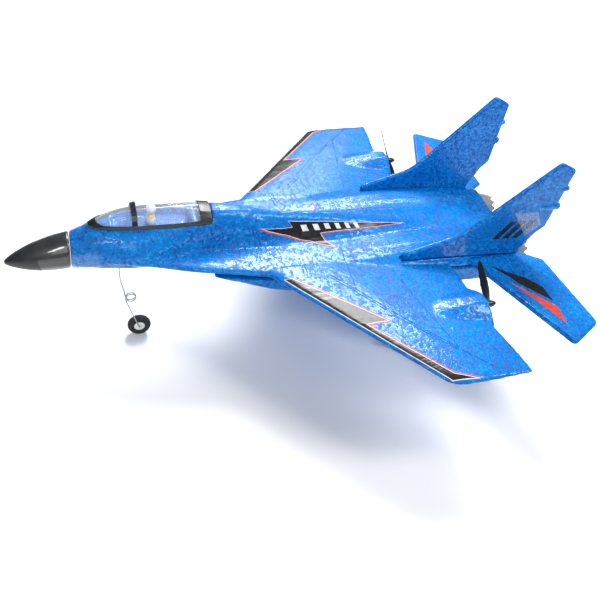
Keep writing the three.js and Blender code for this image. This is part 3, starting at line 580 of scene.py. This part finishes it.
foamBlank = remade("foam_airframe", "foam_blank", foamSet["voxel"], foamSet["smooth"], foamSet["keep"])
airframe = twinOf(foamBlank, "airframe_foam")
for side in (1, -1):
    engrave(airframe, panelLines, side, foamSet["line"])
finishPiece(airframe, "airframe", "skin", ["foam_airframe"], 42)
print("airframe foam", len(airframe.data.polygons))

plateBlanks = {}
for hand, side in (("left", 1), ("right", -1)):
    fin = remade(f"fin_{hand}", f"fin_{hand}_foam", foamSet["plateVoxel"], foamSet["plateSmooth"])
    plateBlanks[f"fin_{hand}"] = fin
    finishPiece(fin, "airframe", "foam", [f"fin_{hand}"], 45)
    tail = remade(f"tailplane_{hand}", f"tailplane_{hand}_foam", foamSet["plateVoxel"],
                  foamSet["plateSmooth"])
    plateBlanks[f"tailplane_{hand}"] = twinOf(tail, f"tail_blank_{hand}")
    engrave(tail, tailLines, side, foamSet["tailLine"])
    finishPiece(tail, "airframe", "foam", [f"tailplane_{hand}"], 45)
    nacelle = remade(f"nacelle_{hand}", f"nacelle_{hand}_foam", foamSet["nacelleVoxel"],
                     foamSet["nacelleSmooth"])
    finishPiece(nacelle, "airframe", "foam", [f"nacelle_{hand}"], 45)
print("fins, tailplanes and nacelles")


# Stickers, cut from the skin they lie on; each edge of an outline has its own red, white or black margin
wingFlash = {
    "lowest": 99.0,
    "outline": [(63.3, -20.6), (64.0, -11.0), (122.9, 55.2), (123.2, 35.2), (179.2, 83.6),
                (188.6, 105.5), (186.0, 79.0)],
    "red": [0.0, 0.0, 0.0, 0.0, 0.0, 0.6, 0.6],
    "white": [0.3, 1.2, 1.2, 1.2, 1.2, 0.0, 0.0],
    "black": [0.6, 1.7, 1.7, 1.7, 1.7, 0.6, 0.6],
}
sideFlash = {
    "lowest": 109.5,
    "outline": [(12.8, -32.5), (10.5, 0.7), (7.0, -3.0), (8.0, 30.0), (9.2, 72.0), (11.4, 113.5),
                (13.4, 83.6), (15.1, 44.4), (15.6, 27.6), (34.0, 37.8), (20.6, 15.4), (15.4, -6.1)],
    "red": [0.1, 0.1, 0.2, 0.2, 0.2, 0.0, 0.0, 0.0, 0.0, 0.0, 0.0, 0.0],
    "white": [0.0, 0.0, 0.0, 0.0, 0.0, 0.5, 0.5, 0.6, 0.8, 0.9, 0.8, 0.6],
    "black": [0.2, 0.2, 0.3, 0.3, 0.3, 0.7, 0.7, 0.9, 1.2, 1.3, 1.1, 0.9],
    "bars": [(8.0, 5.4), (19.0, 5.0), (29.5, 4.6), (39.5, 4.2), (49.0, 3.8), (58.0, 3.4)],
    "barInner": 9.4, "barOuter": 13.0, "barLean": 2.2,
}
tailBlades = {
    "dark": [(66.7, 171.8), (76.5, 183.0), (88.5, 199.0), (100.8, 208.1), (119.4, 207.8),
             (93.2, 187.2), (86.0, 184.0)],
    "red": [(90.9, 179.7), (108.5, 193.9), (127.0, 207.5), (148.2, 204.2), (113.7, 190.7)],
}
filmLift = 0.09    # gap under a film, in mm
filmStep = 0.06    # each layer of a flash lies this much over the last


def flash(name, look, side):
    layers = []
    for level, tone in enumerate(("red", "white", "black")):
        outline = insetOutline(look["outline"], look[tone])
        layers.append(stickerLayer(f"{name}_{tone}", foamBlank, planar(outline, side), falling,
                                   filmLift + filmStep * level, tone + "Vinyl", look["lowest"]))
    return layers


def sideBar(y, long):
    inner, outer, lean = sideFlash["barInner"], sideFlash["barOuter"], sideFlash["barLean"]
    return [(inner, y), (outer, y + lean), (outer, y + lean + long), (inner, y + long)]


for hand, side in (("left", 1), ("right", -1)):
    film = joined(f"wing_flash_{hand}", flash("wing", wingFlash, side))
    finishPiece(film, "airframe", "blackVinyl", angle=40)
    layers = flash("side", sideFlash, side)
    for y, long in sideFlash["bars"]:
        layers.append(stickerLayer("bar", foamBlank, planar(sideBar(y, long), side), falling,
                                   filmLift + 3 * filmStep, "whiteVinyl", sideFlash["lowest"]))
    film = joined(f"side_flash_{hand}", layers)
    finishPiece(film, "airframe", "blackVinyl", angle=40)
    blank = plateBlanks[f"tailplane_{hand}"]
    layers = [stickerLayer("blade", blank, planar(tailBlades[tone], side), falling, filmLift, finish)
              for tone, finish in (("dark", "blackVinyl"), ("red", "redVinyl"))]
    film = joined(f"tail_blades_{hand}", layers)
    finishPiece(film, "airframe", "blackVinyl", angle=40)
    bpy.data.objects.remove(blank)
print("wing, side and tail stickers")

finMarks = {"bars": [(172.5, 6.2), (182.5, 6.2), (192.5, 6.2)], "low": 131.0, "high": 150.5,
            "lean": 11.5, "outFrom": 55.0, "tapeLift": 0.1,
            "tape": [(183.5, 160.0), (208.5, 159.6), (217.6, 145.0), (205.6, 133.5)]}


def upright(points, side):
    # side-view points set beside one fin
    return [(side * finMarks["outFrom"], y, z) for y, z in points]


for hand, side in (("left", 1), ("right", -1)):
    blank = plateBlanks[f"fin_{hand}"]
    inwards = Vector((-side, 0, 0))
    layers = []
    for y, wide in finMarks["bars"]:
        low, high, lean = finMarks["low"], finMarks["high"], finMarks["lean"]
        bar = [(y, low), (y + wide, low), (y + wide + lean, high), (y + lean, high)]
        layers.append(stickerLayer("bar", blank, upright(bar, side), inwards, filmLift, "blackVinyl"))
    marks = joined(f"fin_bars_{hand}", layers)
    finishPiece(marks, "airframe", "blackVinyl", angle=40)
    patch = stickerLayer(f"fin_tape_{hand}", blank, upright(finMarks["tape"], side), inwards,
                         filmLift + finMarks["tapeLift"], "tape")
    finishPiece(patch, "airframe", "tape", angle=40)
print("fin marks")


# Nose, canopy and pilot
nose = refined("nose_cone", "nose_shell", 2, 50)
finishPiece(nose, "airframe", "nose", ["nose_cone"], 50)
dome = refined("canopy_shell", "canopy_dome", 1, 60)
finishPiece(dome, "airframe", "clear", ["canopy_shell"], 50)
hoop = remade("canopy_frame", "canopy_hoops", 0.32, 5)
finishPiece(hoop, "airframe", "black", ["canopy_frame"], 50)


pilotSet = {"shrink": 0.97, "visorDrop": 0.4, "visorHalf": 1.3, "visorFrom": 0.35, "recess": 0.25}


def addPilot():
    torso = remade("pilot_torso", "pilot_bust", 0.32, 6)
    finishPiece(torso, "airframe", "suit", ["pilot_torso"], 60)
    low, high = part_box("pilot_helmet")
    centre, radius = (low + high) / 2, (high.x - low.x) / 2
    bpy.ops.mesh.primitive_uv_sphere_add(segments=40, ring_count=24, location=centre,
                                         radius=radius * pilotSet["shrink"])
    head = bpy.context.object
    head.name = "pilot_head"
    bpy.ops.object.transform_apply(location=True)
    visorMiddle = centre.z - pilotSet["visorDrop"] * mm
    visorBack = centre.y - radius * pilotSet["visorFrom"]
    selectFaces(head, lambda face: abs(face.center.z - visorMiddle) < pilotSet["visorHalf"] * mm
                and face.center.y < visorBack)
    pick(head)
    bpy.ops.object.mode_set(mode="EDIT")
    bpy.ops.mesh.select_mode(type="FACE")
    bpy.ops.mesh.inset(thickness=pilotSet["recess"] * mm, depth=-pilotSet["recess"] * mm)
    closeMesh()
    modify(head, "BEVEL", width=0.1 * mm, segments=2, limit_method="ANGLE",
           angle_limit=math.radians(35))
    applyAll(head)
    finishPiece(head, "airframe", "helmet", ["pilot_helmet"], 40)


addPilot()
print("nose, canopy and pilot")


# Wheels, legs and sockets
wheelSet = {"radius": 10.5, "half": 4.0, "hub": 5.0, "bore": 0.9, "fit": 0.15}
wireSwell = 0.05   # makes up what subdividing takes off a wire


def addWheel(tyreNode, hubNode, name, body):
    centre = middle(tyreNode)
    half, radius, hubRadius = wheelSet["half"], wheelSet["radius"], wheelSet["hub"]
    axis = (1, 0, 0)
    inner = hubRadius + wheelSet["fit"]
    shoulder = [[inner, half - 1.0], [hubRadius + 1.0, half - 0.15], [hubRadius + 2.2, half],
                [radius - 2.2, half - 0.35], [radius - 0.9, half - 1.3], [radius - 0.2, half - 2.6],
                [radius, 0.6]]
    tyreRows = [[r, -d] for r, d in shoulder] + shoulder[::-1] + [[inner, 1.0 - half]]
    tyre = turned(name + "_sponge", tyreRows, centre, axis, 72, 0.12)
    finishPiece(tyre, body, "sponge", [tyreNode], 35)
    edge, bore = half - 0.8, wheelSet["bore"]
    face = [[bore, edge], [1.9, edge], [2.1, edge - 0.9], [3.6, edge - 1.1], [3.9, edge - 0.3],
            [hubRadius - wheelSet["fit"], edge - 0.5]]
    rimRows = [[r, -d] for r, d in face] + face[::-1] + [[bore, -edge]]
    rim = turned(name + "_rim", rimRows, centre, axis, 56, 0.1)
    finishPiece(rim, body, "white", [hubNode], 35)


def addCap(node, name, body, side):
    low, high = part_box(node)
    start = Vector((low.x if side > 0 else high.x, (low.y + high.y) / 2, (low.z + high.z) / 2))
    rows = [[1.1, 0.0], [1.7, 0.25], [1.7, 1.0], [1.35, 1.5], [0.7, 1.78]]
    cap = turned(name, rows, start, (side, 0, 0), 40, 0.08)
    finishPiece(cap, body, "black", [node], 40)


def addWire(node, name, body):
    leg = refined(node, name, 2, 80)
    openMesh(leg)
    bpy.ops.transform.shrink_fatten(value=wireSwell * mm)
    closeMesh()
    finishPiece(leg, body, "steel", [node], 60)


def addSocket(node, name):
    socket = remade(node, name, 0.28, 4)
    finishPiece(socket, "airframe", "black", [node], 50)


addWheel("nose_tyre", "nose_hub", "nose_wheel", "nose_wheel")
addCap("nose_axle_cap", "nose_end_cap", "nose_leg", -1)
addWire("nose_leg_upper", "nose_spring", "airframe")
addWire("nose_leg_lower", "nose_strut", "nose_leg")
addSocket("nose_socket", "nose_grip")
for hand, side in (("left", 1), ("right", -1)):
    addWheel(f"main_tyre_{hand}", f"main_hub_{hand}", f"main_wheel_{hand}", f"main_wheel_{hand}")
    addCap(f"main_axle_cap_{hand}", f"main_end_cap_{hand}", "airframe", side)
    addWire(f"main_leg_{hand}", f"main_strut_{hand}", "airframe")
    addSocket(f"main_socket_{hand}", f"main_grip_{hand}")
print("wheels, legs and sockets")


# Power units and nozzles
for hand, side in (("left", 1), ("right", -1)):
    can = refined(f"motor_{hand}", f"motor_can_{hand}", 2, 30)
    finishPiece(can, "airframe", "can", [f"motor_{hand}"], 40)
    collar = remade(f"motor_mount_{hand}", f"motor_collar_{hand}", 0.25, 4)
    finishPiece(collar, "airframe", "black", [f"motor_mount_{hand}"], 50)
    blades = remade(f"propeller_{hand}", f"propeller_blades_{hand}", 0.24, 6)
    finishPiece(blades, f"propeller_{hand}", "prop", [f"propeller_{hand}"], 60)
    nozzle = remade(f"nozzle_{hand}", f"nozzle_petals_{hand}", 0.45, 3)
    finishPiece(nozzle, "airframe", "grey", [f"nozzle_{hand}"], 50)
print("motors, propellers and nozzles")


# Bay pieces below, and the CAD pieces that keep their shape
hatch = crisp("battery_hatch", "battery_door", 0.3)
finishPiece(hatch, "battery_hatch", "black", ["battery_hatch"], 40)
cover = crisp("board_cover", "board_plate", 0.25)
finishPiece(cover, "airframe", "black", ["board_cover"], 40)

kept = {
    "motor_lead_left": "lead", "motor_lead_right": "lead",
    "motor_shaft_left": "steel", "motor_shaft_right": "steel", "hatch_hinge_pin": "steel",
    "control_board": "board", "switch_body": "black", "switch_knob": "white",
    "battery": "foil", "battery_plug": "white", "battery_tray": "black",
}
for node, finish in kept.items():
    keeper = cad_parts[node]
    keeper.data.materials.clear()
    keeper.data.materials.append(finishes[finish])
print("kept pieces finished")
bpy.data.objects.remove(foamBlank)


# Floor, world and lights
stageSet = {"floor": 8.0, "floorShade": (0.93, 0.93, 0.93, 1), "floorPale": (0.97, 0.97, 0.97, 1),
            "world": (1.0, 1.0, 1.0, 1), "worldLevel": 0.16, "aimHeight": 0.1}
lightSet = {   # azimuth from +X towards +Y and height over the floor, in degrees
    "roof": {"azimuth": 149.0, "height": 57.0, "reach": 1.7, "size": (0.55, 0.62), "radiance": 22.0},
    "gable": {"azimuth": 166.0, "height": 46.0, "reach": 1.7, "size": (0.42, 0.46), "radiance": 26.0},
    "far": {"azimuth": 163.0, "height": 31.0, "reach": 1.8, "size": (0.45, 0.5), "radiance": 8.0},
    "side": {"azimuth": 63.0, "height": 51.0, "reach": 1.5, "size": (0.3, 0.9), "radiance": 15.0},
    "strip": {"azimuth": -44.0, "height": 42.0, "reach": 1.6, "size": (0.18, 0.5), "radiance": 20.0},
    "front": {"azimuth": -12.0, "height": 38.0, "reach": 1.8, "size": (1.4, 1.2), "radiance": 2.0},
}


def addStage():
    bpy.ops.mesh.primitive_plane_add(size=stageSet["floor"])
    floor = bpy.context.object
    floor.name = "floor"
    pale = Finish("pale_floor", Roughness=0.7)
    pale.wear(Base_Color=pale.mix(stageSet["floorShade"], stageSet["floorPale"], pale.noise(300.0)))
    floor.data.materials.append(pale.material)
    world = bpy.data.worlds.new("studio")
    scene.world = world
    world.use_nodes = True
    backdrop = world.node_tree.nodes["Background"]
    backdrop.inputs["Color"].default_value = stageSet["world"]
    backdrop.inputs["Strength"].default_value = stageSet["worldLevel"]


def addLights():
    target = Vector((0, 0, stageSet["aimHeight"]))
    for name, light in lightSet.items():
        turn, rise = math.radians(light["azimuth"]), math.radians(light["height"])
        flat = math.cos(rise)
        toward = Vector((math.cos(turn) * flat, math.sin(turn) * flat, math.sin(rise)))
        bpy.ops.object.light_add(type="AREA", location=target + toward * light["reach"])
        lamp = bpy.context.object
        lamp.name = name
        lamp.data.shape = "RECTANGLE"
        lamp.data.size, lamp.data.size_y = light["size"]
        lamp.data.energy = light["radiance"] * math.pi * lamp.data.size * lamp.data.size_y
        lamp.rotation_mode = "QUATERNION"
        lamp.rotation_quaternion = toward.to_track_quat("Z", "Y")


addStage()
addLights()
print("stage and lights")
